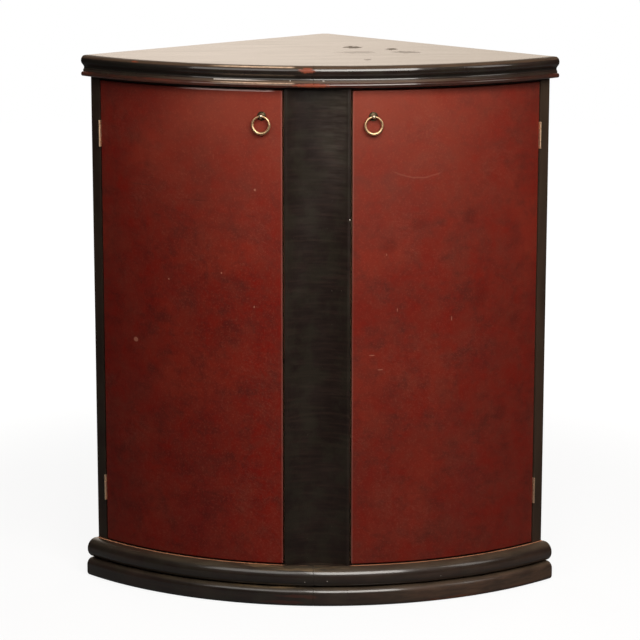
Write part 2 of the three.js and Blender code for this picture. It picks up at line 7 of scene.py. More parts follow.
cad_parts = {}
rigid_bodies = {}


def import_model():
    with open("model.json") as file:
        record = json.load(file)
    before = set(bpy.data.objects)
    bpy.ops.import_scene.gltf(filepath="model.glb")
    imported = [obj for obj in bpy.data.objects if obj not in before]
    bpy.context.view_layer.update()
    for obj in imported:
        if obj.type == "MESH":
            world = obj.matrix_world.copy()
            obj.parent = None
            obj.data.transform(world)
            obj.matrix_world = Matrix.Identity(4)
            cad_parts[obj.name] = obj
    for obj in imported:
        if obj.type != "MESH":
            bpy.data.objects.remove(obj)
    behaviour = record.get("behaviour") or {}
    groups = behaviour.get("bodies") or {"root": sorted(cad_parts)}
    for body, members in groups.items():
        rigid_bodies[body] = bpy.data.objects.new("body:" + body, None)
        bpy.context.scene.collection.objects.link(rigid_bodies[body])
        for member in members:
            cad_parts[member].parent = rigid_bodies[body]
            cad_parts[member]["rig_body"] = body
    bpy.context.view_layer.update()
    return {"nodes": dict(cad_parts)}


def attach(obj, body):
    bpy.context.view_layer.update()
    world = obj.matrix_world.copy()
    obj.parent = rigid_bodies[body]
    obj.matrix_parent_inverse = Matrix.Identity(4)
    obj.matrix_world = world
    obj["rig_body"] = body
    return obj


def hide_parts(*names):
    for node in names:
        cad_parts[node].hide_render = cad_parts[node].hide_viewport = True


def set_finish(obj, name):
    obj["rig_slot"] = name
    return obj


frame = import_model()

# Wall frame. Posts, rails and thin panels of plain wood lie along the room's two walls, with
# the plinth rails under them, all glued and pinned. Their arrises are eased with a few strokes
# of a plane, and the grain runs along each piece.
corner = Vector((0.0, 0.291, 0.0))
wall_turn = math.radians(45)
grain_upright = (0.0, -math.pi / 2, 0.0)
wood_light = (0.33, 0.205, 0.11, 1.0)
wood_dark = (0.19, 0.105, 0.05, 1.0)
wood_fibre = (0.03, 0.0012, 0.0012)
wood_tone = 0.2589
wood_ease = 0.0008
weld_gap = 0.00001


class Tone:
    """A socket of a material's nodes. A sum written with tones adds its Math nodes."""

    def __init__(self, tree, socket=None):
        self.tree = tree
        self.socket = socket

    def node(self, kind, settings=None, inputs=None, output=0):
        made = self.tree.nodes.new(kind)
        for name, setting in (settings or {}).items():
            setattr(made, name, setting)
        for key, value in (inputs or {}).items():
            if isinstance(value, Tone):
                self.tree.links.new(value.socket, made.inputs[key])
            else:
                made.inputs[key].default_value = value
        return Tone(self.tree, made.outputs[output])

    def reckon(self, operation, *terms):
        return self.node("ShaderNodeMath", {"operation": operation}, dict(enumerate(terms)))

    def __add__(self, other):
        return self.reckon("ADD", self, other)

    __radd__ = __add__

    def __sub__(self, other):
        return self.reckon("SUBTRACT", self, other)

    def __rsub__(self, other):
        return self.reckon("SUBTRACT", other, self)

    def __mul__(self, other):
        return self.reckon("MULTIPLY", self, other)

    __rmul__ = __mul__

    def __truediv__(self, other):
        return self.reckon("DIVIDE", self, other)

    def __pow__(self, other):
        return self.reckon("POWER", self, other)

    def __abs__(self):
        return self.reckon("ABSOLUTE", self)

    def greatest(self, *others):
        """The greatest of this and the others."""
        most = self
        for other in others:
            most = self.reckon("MAXIMUM", most, other)
        return most

    def fade(self, low, high):
        """0 below low, 1 above high, and smooth between them."""
        ends = {"Value": self, "From Min": low, "From Max": high}
        return self.node("ShaderNodeMapRange", {"interpolation_type": "SMOOTHSTEP"}, ends)

    def band(self, low, full_from, full_to, high):
        """1 between the middle two values, and smooth down to 0 at the outer two."""
        return self.fade(low, full_from) * self.fade(high, full_to)

    def part(self, axis):
        """One part of a place: 0 is across, 1 is back and 2 is up."""
        return self.node("ShaderNodeSeparateXYZ", {}, {0: self}, axis)

    def noise(self, scale, detail=3.0, roughness=0.5, distortion=0.0):
        grain = {"Vector": self, "Scale": scale, "Detail": detail, "Roughness": roughness,
                 "Distortion": distortion}
        return self.node("ShaderNodeTexNoise", {}, grain)

    def stretched(self, size, turn=(0.0, 0.0, 0.0)):
        """The same place, turned back and measured in steps of these sizes."""
        steps = {"Vector": self, "Rotation": turn, "Scale": size}
        return self.node("ShaderNodeMapping", {"vector_type": "TEXTURE"}, steps)

    def colours(self, first, second):
        """From the first colour, where this is 0, to the second, where it is 1."""
        mixed = {0: self, 6: first, 7: second}
        return self.node("ShaderNodeMix", {"data_type": "RGBA"}, mixed, 2)

    def feed(self, shader, socket):
        self.tree.links.new(self.socket, shader.inputs[socket])

    def bump(self, strength, depth):
        relief = {"Height": self, "Strength": strength, "Distance": depth}
        return self.node("ShaderNodeBump", {}, relief)


def new_finish(name, colour, roughness, **constants):
    """A finish, its shader, and the place on the piece that its patterns follow."""
    finish = bpy.data.materials.new(name)
    finish.use_nodes = True
    finish.diffuse_color = colour
    shader = finish.node_tree.nodes["Principled BSDF"]
    shader.inputs["Base Color"].default_value = colour
    shader.inputs["Roughness"].default_value = roughness
    for socket, value in constants.items():
        shader.inputs[socket.replace("_", " ")].default_value = value
    place = Tone(finish.node_tree).node("ShaderNodeTexCoord", output=3)
    return finish, shader, place


def wood_finish(name, turn):
    """Planed wood with fine fibres along the grain and darker blotches."""
    finish, shader, place = new_finish(name, wood_light, 0.6, Specular_IOR_Level=0.3)
    fibres = place.stretched(wood_fibre, turn).noise(1.0, 4.0, 0.6)
    blotch = place.noise(7.0, 3.0)
    shade = fibres.fade(0.35, 0.7) * 0.4 + blotch.fade(0.3, 0.75) * 0.35 + wood_tone
    shade.colours(wood_light, wood_dark).feed(shader, "Base Color")
    (fibres * 0.25 + 0.48).feed(shader, "Roughness")
    fibres.bump(0.35, 0.0006).feed(shader, "Normal")
    return finish


def deselect():
    bpy.ops.object.select_all(action="DESELECT")


def select_mesh():
    bpy.ops.mesh.select_all(action="SELECT")


def take_up(piece):
    """Selects this piece alone."""
    deselect()
    piece.select_set(True)
    bpy.context.view_layer.objects.active = piece


def ease_sharp(width, segments, sharpness=30, clamp=False):
    """Bevels every edge that turns by more than this angle."""
    bpy.ops.mesh.select_mode(type="EDGE")
    bpy.ops.mesh.select_all(action="DESELECT")
    bpy.ops.mesh.edges_select_sharp(sharpness=math.radians(sharpness))
    bpy.ops.mesh.bevel(offset=width, segments=segments, affect="EDGES", clamp_overlap=clamp)


def smoothed(piece, degrees):
    """Smooth shading up to this angle; the large faces keep their own direction."""
    bpy.ops.object.shade_smooth_by_angle(angle=math.radians(degrees))
    bpy.ops.object.modifier_add(type="WEIGHTED_NORMAL")
    piece.modifiers[-1].keep_sharp = True
    bpy.ops.object.modifier_apply(modifier=piece.modifiers[-1].name)


def eased(node, ease, finish, slot):
    """A copy of a CAD piece with its arrises eased, which then stands for it."""
    original = frame["nodes"][node]
    piece = bpy.data.objects.new(node + "_eased", original.data.copy())
    bpy.context.scene.collection.objects.link(piece)
    take_up(piece)
    piece.data.materials.clear()
    piece.data.materials.append(finish)
    bpy.ops.object.mode_set(mode="EDIT")
    bpy.ops.mesh.select_mode(type="EDGE")
    select_mesh()
    bpy.ops.mesh.remove_doubles(threshold=weld_gap)
    bpy.ops.mesh.dissolve_limited(angle_limit=math.radians(0.5))
    ease_sharp(ease, 2, clamp=True)
    bpy.ops.object.mode_set(mode="OBJECT")
    smoothed(piece, 25)
    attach(piece, original["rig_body"])
    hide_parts(node)
    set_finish(piece, slot)


upright_grain = wood_finish("plain wood, upright grain", grain_upright)
for side, turn in (("left", wall_turn), ("right", -wall_turn)):
    wall_grain = wood_finish(f"plain wood, {side} wall", (0.0, 0.0, turn))
    for rail in ("floor_rail", "lower_shelf_rail", "upper_shelf_rail", "top_rail", "plinth_rail"):
        eased(f"{rail}_{side}", wood_ease, wall_grain, "raw_wood")
    eased(f"back_panel_{side}", wood_ease / 2, upright_grain, "raw_wood")
for node in ("rear_post", "stile_backboard"):
    eased(node, wood_ease, upright_grain, "raw_wood")

# Nails in the back panels. Round heads of wire nails, driven flush along both long edges of
# each panel into the posts.
both_sides = (("left", -1), ("right", 1))
slant = math.sqrt(0.5)
nail_radius = 0.0017
nail_thick = 0.0008
nail_rim = 0.0003
nail_sunk = 0.0003
nail_rows = (0.0355, 0.5125)
nail_levels = [0.12 * step for step in range(1, 8)]
nail_grey = (0.16, 0.13, 0.11, 1.0)
nail_rust = (0.1, 0.06, 0.04, 1.0)
nail_bright = (0.3, 0.28, 0.26, 1.0)


def finish_edit(piece, finish, smooth_angle, body, slot, *nodes):
    """Leaves edit mode, and gives the piece its finish, its body and its CAD pieces."""
    if bpy.context.mode == "EDIT_MESH":
        bpy.ops.object.mode_set(mode="OBJECT")
    take_up(piece)
    bpy.ops.object.transform_apply(location=True, rotation=True, scale=True)
    smoothed(piece, smooth_angle)
    piece.data.materials.clear()
    piece.data.materials.append(finish)
    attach(piece, body)
    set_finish(piece, slot)
    if nodes:
        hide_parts(*nodes)


def put_in_place(piece, move):
    """Moves the mesh itself, and turns its faces out again if the move mirrors it."""
    piece.data.transform(move)
    if move.determinant() < 0:
        piece.data.flip_normals()


def copied(piece, name, move):
    """Another of the same piece, with its own mesh, moved in place."""
    copy = bpy.data.objects.new(name, piece.data.copy())
    bpy.context.scene.collection.objects.link(copy)
    put_in_place(copy, move)
    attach(copy, piece["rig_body"])
    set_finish(copy, piece["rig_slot"])


def wall_place(sign, along, inward, height):
    """A point on one wall's side, counted from the room's corner along it, inward and up."""
    across = sign * (along - inward) * slant
    return Vector((across, corner.y - (along + inward) * slant, height))


def wall_matrix(sign, along, inward, height):
    """Stands a piece drawn with X along the wall, Y inward and Z up in its place at a wall."""
    outward = Vector((sign * slant, -slant, 0.0))
    inwards = Vector((-sign * slant, -slant, 0.0))
    turned = Matrix((outward, inwards, Vector((0.0, 0.0, 1.0)))).transposed().to_4x4()
    return Matrix.Translation(wall_place(sign, along, inward, height)) @ turned


nail_steel, shader, place = new_finish("nail steel", nail_grey, 0.5, Metallic=1.0)
place.noise(900.0).colours(nail_rust, nail_bright).feed(shader, "Base Color")
deselect()
bpy.ops.mesh.primitive_cylinder_add(vertices=12, radius=nail_radius, depth=nail_thick,
                                    rotation=(math.pi / 2, 0.0, 0.0))
first_nail = bpy.context.object
first_nail.name = "panel_nail"
bpy.ops.object.mode_set(mode="EDIT")
select_mesh()
bpy.ops.mesh.bevel(offset=nail_rim, segments=2, affect="EDGES")
finish_edit(first_nail, nail_steel, 30, "carcass", "zinc_steel")
for side, sign in both_sides:
    for along in nail_rows:
        for index, level in enumerate(nail_levels):
            nail_place = wall_matrix(sign, along, nail_sunk, level)
            copied(first_nail, f"panel_nail_{side}_{int(along * 1000)}_{index}", nail_place)
bpy.data.objects.remove(first_nail)

# Shelves. Two quarter-round boards of plain wood lie on the wall rails, their curved front
# edges eased.
shelf_ease = 0.0015
shelf_grain = wood_finish("plain wood, shelf", (0.0, 0.0, 0.0))
for node in ("lower_shelf", "upper_shelf"):
    eased(node, shelf_ease, shelf_grain, "raw_wood")

# Bottom board, side posts, header and front plinth rail. Solid wood in black lacquer, brushed
# on in thin coats over a red-brown ground, which shows where the coats are worn through.
lacquer_black = (0.016, 0.0095, 0.0078, 1.0)
lacquer_brown = (0.04, 0.0215, 0.0155, 1.0)
lacquer_moss = (0.028, 0.0245, 0.0155, 1.0)
lacquer_worn = (0.1, 0.06, 0.036, 1.0)
lacquer_red = (0.2, 0.036, 0.016, 1.0)
lacquer_chip = (0.7, 0.64, 0.56, 1.0)
lacquer_dust = (0.42, 0.34, 0.27, 1.0)
board_ground = (0.62, 0.27, 0.14, 1.0)
board_tan = (0.33, 0.19, 0.11, 1.0)
board_strokes = (0.2, 0.2, 0.02)
upright_strokes = (0.02, 0.02, 0.25)
board_ease = 0.0012


def lacquer(name, stroke, wear_and_painted_light=None, gloss=0.34, polish=0.0, clouds=0.55, blur=0.09):
    """Black lacquer, brushed in strokes of this size. The masks of worn places and of painted
    shade, sheen and highlights come with their colours.
    """
    finish, shader, place = new_finish(name, lacquer_black, gloss, Specular_IOR_Level=0.34,
                                       Coat_Weight=polish, Coat_Roughness=blur, Coat_IOR=1.65)
    brushed = place.stretched(stroke).noise(1.0, 4.0, 0.55)
    cloudy = place.noise(13.0, 4.0, 0.6)
    tint = brushed.fade(0.42, 0.72) * 0.45 + cloudy.fade(0.4, 0.75) * clouds
    colour = tint.colours(lacquer_black, lacquer_brown)
    moss = place.noise(24.0, 5.0, 0.65).fade(0.42, 0.62) * 0.5
    colour = moss.colours(colour, lacquer_moss)
    bare_and_painted = None
    # Some masks are worn places and some are painted shade, sheen or highlights. All of them make
    # the lacquer duller.
    for mask, worn_and_painted_colour in (wear_and_painted_light(place) if wear_and_painted_light else ()):
        colour = mask.colours(colour, worn_and_painted_colour)
        bare_and_painted = mask if bare_and_painted is None else bare_and_painted.greatest(mask)
    if polish and bare_and_painted:
        (polish - bare_and_painted.fade(0.1, 0.8) * polish).feed(shader, "Coat Weight")
    dust = place.noise(520.0, 1.0).fade(0.79, 0.83) * place.noise(30.0).fade(0.5, 0.6)
    colour = (dust * 0.5).colours(colour, lacquer_dust)
    colour.feed(shader, "Base Color")
    rough = brushed * 0.16 + cloudy.fade(0.3, 0.8) * 0.16 + (gloss - 0.14)
    (rough + bare_and_painted * 0.25 if bare_and_painted else rough).feed(shader, "Roughness")
    (brushed + cloudy * 0.5).bump(0.18, 0.0007).feed(shader, "Normal")
    return finish


def round_place(place):
    """The distance from the room's corner, the angle to the right in degrees, and the height."""
    across, back, height = [place.part(axis) for axis in range(3)]
    forward = corner.y - back
    distance = (across * across + forward * forward) ** 0.5
    angle = across.reckon("ARCTAN2", across, forward) * (180 / math.pi)
    return distance, angle, height


def board_wear(place):
    """The front arris is rubbed to the ground, and under the stile a few tan streaks show."""
    distance, angle, height = round_place(place)
    arris = distance.fade(0.5516, 0.5522) * height.fade(0.0642, 0.0652)
    upper_face = distance.fade(0.5, 0.51) * height.fade(0.0655, 0.0659)
    patchy = place.noise(60.0, 3.0).fade(0.3, 0.6) * 0.35 + 0.65
    streaks = place.stretched((0.03, 0.006, 0.01)).noise(1.0, 3.0).fade(0.5, 0.7)
    under_stile = abs(angle).fade(6.4, 5.6)
    return [(arris * patchy * (1.0 - under_stile), board_ground),
            (upper_face * under_stile * streaks * 0.55, board_tan)]


def post_wear(place):
    """The posts are streaked brown, the right one more."""
    strokes = place.stretched((0.02, 0.02, 0.2)).noise(1.0, 4.0, 0.6).fade(0.3, 0.7)
    more_on_the_right = place.part(0).fade(-0.1, 0.1) * 0.3 + 0.12
    return [(more_on_the_right * (strokes * 0.6 + 0.7), lacquer_worn)]


black = lacquer("black lacquer", upright_strokes)
post_black = lacquer("black lacquer, posts", upright_strokes, post_wear)
board_black = lacquer("black lacquer, bottom board", board_strokes, board_wear)
eased("bottom_board", board_ease, board_black, "black_lacquer")
eased("plinth_rail_front", wood_ease, black, "black_lacquer")
eased("header_rail", wood_ease, black, "black_lacquer")
for side in ("left", "right"):
    eased(f"side_post_{side}", wood_ease, post_black, "black_lacquer")

# Centre stile. A fixed upright of solid wood with a long shallow cove planed down its face and
# a flat fillet left at each edge, lacquered black by brush across the cove.
stile_half = 0.055
stile_fillet = 0.005
stile_bottom = 0.066
stile_top = 0.8755
stile_front = 0.552
stile_back = 0.526
stile_ease = 0.0007
stile_strokes = (0.06, 0.06, 0.005)
# The grey of a painted sheen at the top of the stile's cove.
stile_sheen_colour = (0.24, 0.2, 0.17, 1.0)
cove_depth = 0.015
cove_steps = 28


def draw_outline(name, points):
    """A flat outline, drawn point by point with extrude, then closed and filled."""
    deselect()
    bpy.ops.mesh.primitive_plane_add(size=0.001)
    piece = bpy.context.object
    piece.name = name
    piece.data.name = name
    bpy.ops.object.mode_set(mode="EDIT")
    bpy.ops.mesh.select_mode(type="VERT")
    bpy.ops.mesh.merge(type="CENTER")
    bpy.ops.transform.translate(value=points[0])
    for before, here in zip(points, points[1:]):
        bpy.ops.mesh.extrude_region_move(TRANSFORM_OT_translate={"value": here - before})
    select_mesh()
    bpy.ops.mesh.edge_face_add()
    return piece


def stile_wear_and_sheen(place):
    """A painted grey sheen at the top right of the cove, a rubbed line down each fillet, and a
    fleck.
    """
    _, angle, height = round_place(place)
    # Painted sheen: the top right of the cove is lightened grey, as if it mirrored the light.
    painted_sheen = height.fade(0.62, 0.86) * angle.band(-1.5, 3.6, 4.6, 5.6)
    strokes = place.stretched((0.05, 0.05, 0.006)).noise(1.0, 4.0, 0.6)
    rub = abs(angle).fade(5.55, 5.68)
    rub = rub * place.stretched((0.01, 0.01, 0.09)).noise(1.0, 4.0).fade(0.5, 0.7)
    fleck = abs(angle - 5.6).fade(0.1, 0.05) * abs(height - 0.66).fade(0.0016, 0.0008)
    return [(painted_sheen * (strokes.fade(0.3, 0.7) * 0.16 + 0.04), stile_sheen_colour),
            (rub * 0.3, lacquer_red), (fleck, lacquer_chip)]


cove_half = stile_half - stile_fillet
lip = math.sqrt(stile_front ** 2 - cove_half ** 2)
cove_radius = (cove_half ** 2 + cove_depth ** 2) / (2 * cove_depth)
cove_angle = math.asin(cove_half / cove_radius)
cove_centre = lip + cove_radius - cove_depth
stile_edge = math.sqrt(stile_front ** 2 - stile_half ** 2)
stile_points = [(-stile_half, stile_edge)]
for step in range(cove_steps + 1):
    turn = cove_angle * (2 * step / cove_steps - 1)
    stile_points.append((cove_radius * math.sin(turn), cove_centre - cove_radius * math.cos(turn)))
stile_points += [(stile_half, stile_edge), (stile_half, stile_back), (-stile_half, stile_back)]
stile = draw_outline("coved_stile", [Vector((across, corner.y - forward, stile_bottom))
                                     for across, forward in stile_points])
stile_rise = (0.0, 0.0, stile_top - stile_bottom)
bpy.ops.mesh.extrude_region_move(TRANSFORM_OT_translate={"value": stile_rise})
select_mesh()
bpy.ops.mesh.normals_make_consistent(inside=False)
ease_sharp(stile_ease, 3, 20)
stile_black = lacquer("black lacquer, stile", stile_strokes, stile_wear_and_sheen, gloss=0.4, clouds=0.25)
finish_edit(stile, stile_black, 25, "carcass", "black_lacquer", "centre_stile")

# Top board. The flat top is lacquered like the rest and has kept its polish, apart from a few
# stains where water has dulled it: (across, back, half width, half depth, strength).
top_ease = 0.0002
top_brown = (0.1, 0.062, 0.042, 1.0)
top_tan = (0.18, 0.115, 0.08, 1.0)
top_dull = (0.22, 0.165, 0.115, 1.0)
top_streaks = (0.25, 0.03, 0.3)
streak_turn = (0.0, 0.0, 0.12)
top_stains = ((0.0535, 0.036, 0.016, 0.022, 1.0), (0.063, -0.05, 0.036, 0.018, 0.35),
              (0.122, 0.006, 0.012, 0.015, 1.0), (0.145, -0.043, 0.025, 0.018, 0.6),
              (0.081, -0.168, 0.007, 0.012, 0.6))


def top_finish(name):
    finish, shader, place = new_finish(name, lacquer_brown, 0.3, Coat_Weight=1.0,
                                       Coat_Roughness=0.12, Specular_IOR_Level=0.5)
    across, back = place.part(0), place.part(1)
    cloudy = place.noise(9.0, 4.0, 0.6)
    streaks = place.stretched(top_streaks, streak_turn).noise(1.0, 5.0, 0.6)
    warm = cloudy.fade(0.3, 0.7) * 0.6 + streaks.fade(0.35, 0.7) * 0.4
    ragged = place.noise(70.0, 6.0, 0.7) * 2.8
    spots = []
    for middle, depth, wide, deep, strength in top_stains:
        aside = (across - middle) / wide
        along = (back - depth) / deep
        spot = ((aside * aside + along * along) ** 0.5 + ragged).fade(2.4, 2.1)
        spots.append(spot * strength)
    stain = spots[0].greatest(*spots[1:])
    stain.colours(warm.colours(top_brown, top_tan), top_dull).feed(shader, "Base Color")
    (0.97 - stain * 0.87 - streaks.fade(0.42, 0.72) * 0.14).feed(shader, "Coat Weight")
    (cloudy * 0.1 + stain * 0.35 + 0.2).feed(shader, "Roughness")
    streaks.bump(0.04, 0.0005).feed(shader, "Normal")
    return finish


top_polish = top_finish("black lacquer, polished top")
eased("top_board", top_ease, top_polish, "black_lacquer")

# Cornice. A moulding in two lengths round the top board: a full round over a hollow, a small
# fillet and a bead, glued and pinned to the board's edge, with a butt seam near the middle.
seam_radius = 0.577
seam_angle = -math.degrees(0.006 / seam_radius)
seam_half = math.degrees(0.00015 / seam_radius)
moulding_lengths = (("left", -45.0, seam_angle - seam_half),
                    ("right", seam_angle + seam_half, 45.0))
moulding_steps = 50
moulding_sharp = 50
cornice_ease = 0.0002
cornice_strokes = (0.25, 0.25, 0.012)
# The near-black of painted shade in the hollow and at the left end.
cornice_painted_shade = (0.006, 0.0055, 0.004, 1.0)
cornice_brown = (0.16, 0.1, 0.065, 1.0)
cornice_rub = (0.3, 0.062, 0.026, 1.0)
# Tan gold for a worn gilded line on the round that is partly a painted highlight, and for the
# painted highlight and sheen on the bead.
cornice_gilt_and_highlight = (0.75, 0.53, 0.37, 1.0)
# The pale of a painted highlight on the hollow's lower edge.
cornice_painted_highlight = (0.8, 0.74, 0.68, 1.0)
gilt_and_highlight_reach = (-19.0, -14.5, -4.4, -3.4)
gilt_and_highlight_on_round = (0.9118, 0.9127, 0.9138, 0.9146)
highlight_on_bead = (0.8861, 0.8867, 0.8876, 0.8882)
sheen_below_bead_highlight = (0.8832, 0.8842, 0.8862, 0.887)
shade_in_hollow = (0.893, 0.8945, 0.898, 0.9)
shade_at_left_end = (0.893, 0.8945, 0.9085, 0.9105)
fillet_face = (0.8874, 0.8881, 0.8911, 0.8919)
fillet_edge_highlight = (0.8901, 0.8907, 0.8918, 0.8924)
cornice_spots = ((-1.6, 0.9085, 1.4, 0.0045), (-0.7, 0.884, 3.4, 0.0035),
                 (-32.5, 0.9125, 0.8, 0.0015))
cornice_chips = ((-17.4, 0.891, 0.12, 0.0009), (-4.45, 0.891, 0.1, 0.0008),
                 (1.05, 0.891, 0.18, 0.0007))


def arc(centre_out, centre_up, radius, start, end, count):
    """Section points (distance out, height) of an arc whose angles are in degrees."""
    points = []
    for step in range(count + 1):
        turn = math.radians(start + (end - start) * step / count)
        points.append((centre_out + radius * math.cos(turn), centre_up + radius * math.sin(turn)))
    return points


def hollow(first, pull, last, count):
    """Section points after the first one on a curve that is drawn towards the pull."""
    points = []
    for step in range(1, count + 1):
        share = step / count
        weights = ((1 - share) ** 2, 2 * share * (1 - share), share ** 2)
        points.append(tuple(sum(w * p[axis] for w, p in zip(weights, (first, pull, last)))
                            for axis in range(2)))
    return points


def round_point(distance, angle, height):
    """A point at this distance from the room's corner and this angle to the right."""
    turn = math.radians(angle)
    return Vector((distance * math.sin(turn), corner.y - distance * math.cos(turn), height))


def run_moulding(name, section, start, end, steps):
    """The section drawn at one end, and spun about the room's corner to the other."""
    piece = draw_outline(name, [round_point(out, start, height) for out, height in section])
    select_mesh()
    bpy.ops.mesh.spin(steps=steps, angle=math.radians(start - end), center=corner, axis=(0, 0, 1))
    select_mesh()
    bpy.ops.mesh.remove_doubles(threshold=weld_gap / 2)
    bpy.ops.mesh.normals_make_consistent(inside=False)
    return piece


def patches(angle, height, spots):
    """Soft ovals at (angle, height, half width in degrees, half height in metres)."""
    whole = None
    for turn, level, wide, tall in spots:
        across = (angle - turn) / wide
        up = (height - level) / tall
        oval = across * across + up * up
        whole = oval if whole is None else whole.reckon("MINIMUM", whole, oval)
    return whole


def cornice_wear_and_painted_light(place):
    """The round is rubbed brown, with a gilded line left in it that is partly a painted highlight,
    and a painted highlight on the bead with a painted sheen under it. Painted shade darkens the
    hollow, and the round at the left end. A painted highlight lies on the hollow's lower edge on
    the left, and the bead and the ends show red."""
    distance, angle, height = round_place(place)
    ragged = place.noise(160.0, 6.0, 0.75)
    run = place.stretched((0.06, 0.06, 0.012)).noise(1.0, 4.0, 0.65)
    crown = height.fade(0.9098, 0.9122) * distance.fade(0.5562, 0.5582)
    crown = crown * (run.fade(0.3, 0.65) * 0.35 + 0.6)
    # The round's gilded line is partly a painted highlight. The band on the bead and the faint one
    # below it are a painted highlight and sheen.
    gilt_and_highlight = height.band(*gilt_and_highlight_on_round)
    gilt_and_highlight = gilt_and_highlight.greatest(height.band(*highlight_on_bead), height.band(*sheen_below_bead_highlight) * 0.15)
    gilt_and_highlight = gilt_and_highlight * (run.fade(0.3, 0.5) * 0.3 + ragged.fade(0.38, 0.6) * 0.35 + 0.3)
    gilt_and_highlight = gilt_and_highlight * angle.band(*gilt_and_highlight_reach)
    # Painted highlight: a pale line along the hollow's lower edge, on the left.
    edge = height.band(*fillet_edge_highlight) * angle.fade(-17.6, -17.1)
    edge = edge * angle.fade(-7.0, -13.0) * 0.7
    rub = (patches(angle, height, cornice_spots) + ragged * 4.0).fade(3.4, 2.1) * 0.85
    bead = height.fade(0.8891, 0.8876) * distance.fade(0.566, 0.568)
    streaks = run.fade(0.35, 0.65) * (angle.fade(12.0, -2.0) * 0.24 + 0.06)
    bead = bead * (streaks + abs(angle).fade(41.5, 43.5) * 0.2 + 0.1)
    fillet = height.band(*fillet_face) * distance.fade(0.566, 0.5663)
    fillet = fillet * (abs(angle).fade(32.0, 16.0) * 0.5 + 0.1)
    # Painted shade: the hollow is darkened all along, and the round's lower half too at the left
    # end.
    left_end_shade = height.band(*shade_at_left_end) * angle.fade(-20.0, -27.0)
    painted_shade = height.band(*shade_in_hollow).greatest(left_end_shade) * 0.7
    chips = patches(angle, height, cornice_chips).fade(1.3, 0.7)
    return [(painted_shade, cornice_painted_shade), (crown, lacquer_worn), (fillet, cornice_brown),
            (bead, lacquer_red), (rub, cornice_rub), (gilt_and_highlight, cornice_gilt_and_highlight), (edge, cornice_painted_highlight),
            (chips, lacquer_chip)]


cornice_section = [(0.5523, 0.915)] + arc(0.5625, 0.9065, 0.0085, 90, -40, 14)
cornice_section += hollow(cornice_section[-1], (0.565, 0.8972), (0.5647, 0.8949), 6)
cornice_section += hollow(cornice_section[-1], (0.5647, 0.8924), (0.5664, 0.8915), 8)
cornice_section += [(0.5666, 0.8878)]
cornice_section += arc(0.5672, 0.8838, 0.0039, 90, -90, 12) + [(0.5523, 0.8799)]
cornice_black = lacquer("black lacquer, cornice", cornice_strokes, cornice_wear_and_painted_light,
                        gloss=0.3, polish=1.0)
for side, start, end in moulding_lengths:
    length = run_moulding(f"cornice_run_{side}", cornice_section, start, end, moulding_steps)
    ease_sharp(cornice_ease, 2, moulding_sharp)
    finish_edit(length, cornice_black, 35, "carcass", "black_lacquer", f"cornice_{side}")

# Base mouldings. A half round over a broad foot moulding with rounded edges, both run round the
# front in two lengths, glued to the plinth and the bottom board, with butt seams in one line.
base_ease = 0.0004
base_strokes = (0.3, 0.3, 0.008)
base_brown = (0.09, 0.066, 0.04, 1.0)
base_russet = (0.15, 0.085, 0.055, 1.0)
# A tan for streaks on the torus, and for the painted highlight on the foot's crown.
base_tan_and_highlight = (0.3, 0.19, 0.09, 1.0)
base_hem = (0.34, 0.12, 0.05, 1.0)
base_seam = (0.075, 0.062, 0.048, 1.0)
foot_crown = (0.0262, 0.0295, 0.0325, 0.0332)
foot_highlight_band = (0.0298, 0.0308, 0.0318, 0.0324)
foot_highlight_reach = (-16.0, -11.0, -4.0, -1.5)
torus_reach = (-17.0, -9.0, 3.0, 9.0)
base_spots = ((-3.6, 0.019, 3.0, 0.003), (-5.4, 0.007, 4.0, 0.004), (-1.0, 0.0175, 1.2, 0.004),
              (24.0, 0.004, 7.0, 0.004), (37.0, 0.005, 4.0, 0.003))
base_flecks = ((1.8, 0.0452, 0.09, 0.0008), (-2.0, 0.043, 0.06, 0.0006),
               (21.5, 0.0445, 0.05, 0.0006))
hem_spots = ((24.0, 0.001, 6.5, 0.0045),)


def base_wear_and_highlight(place):
    """Both rounds are rubbed brown, with tan streaks near the middle, and the foot's crown carries
    tan streaks that are a painted highlight. The foot is russet on the right, with faint red rubs
    and a hem worn through, and the seams are grey."""
    _, angle, height = round_place(place)
    ragged = place.noise(70.0, 4.0, 0.6)
    run = place.stretched((0.06, 0.06, 0.01)).noise(1.0, 4.0, 0.6)
    crown = height.fade(0.0575, 0.0625) + height.band(*foot_crown)
    crown = crown * (run.fade(0.3, 0.65) * 0.4 + 0.35) * (angle.fade(-42.0, -15.0) * 0.6 + 0.4)
    foot = (height.fade(0.032, 0.028) * 0.6 + 0.4) * angle.fade(-8.0, 28.0)
    foot = foot * (run.fade(0.35, 0.65) * 0.4 + 0.3)
    rub = (patches(angle, height, base_spots) + ragged * 2.4).fade(2.4, 1.4) * 0.2
    streaks = place.stretched((0.05, 0.05, 0.0025)).noise(1.0, 5.0, 0.6).fade(0.45, 0.65)
    upper = height.fade(0.0585, 0.0625) * angle.band(*torus_reach)
    # Painted highlight: tan streaks along the foot's crown, at the top edge of its highlight.
    lower = height.band(*foot_highlight_band) * angle.band(*foot_highlight_reach)
    hem = (patches(angle, height, hem_spots) + ragged * 2.0).fade(2.2, 1.4) * 0.6
    seam = abs(angle - seam_angle).fade(0.06, 0.025)
    flecks = patches(angle, height, base_flecks).fade(1.3, 0.7)
    return [(crown, base_brown), (foot, base_russet), (rub, lacquer_red),
            ((upper + lower) * streaks * 0.5, base_tan_and_highlight), (hem, base_hem),
            (seam * 0.8, base_seam), (flecks, lacquer_chip)]


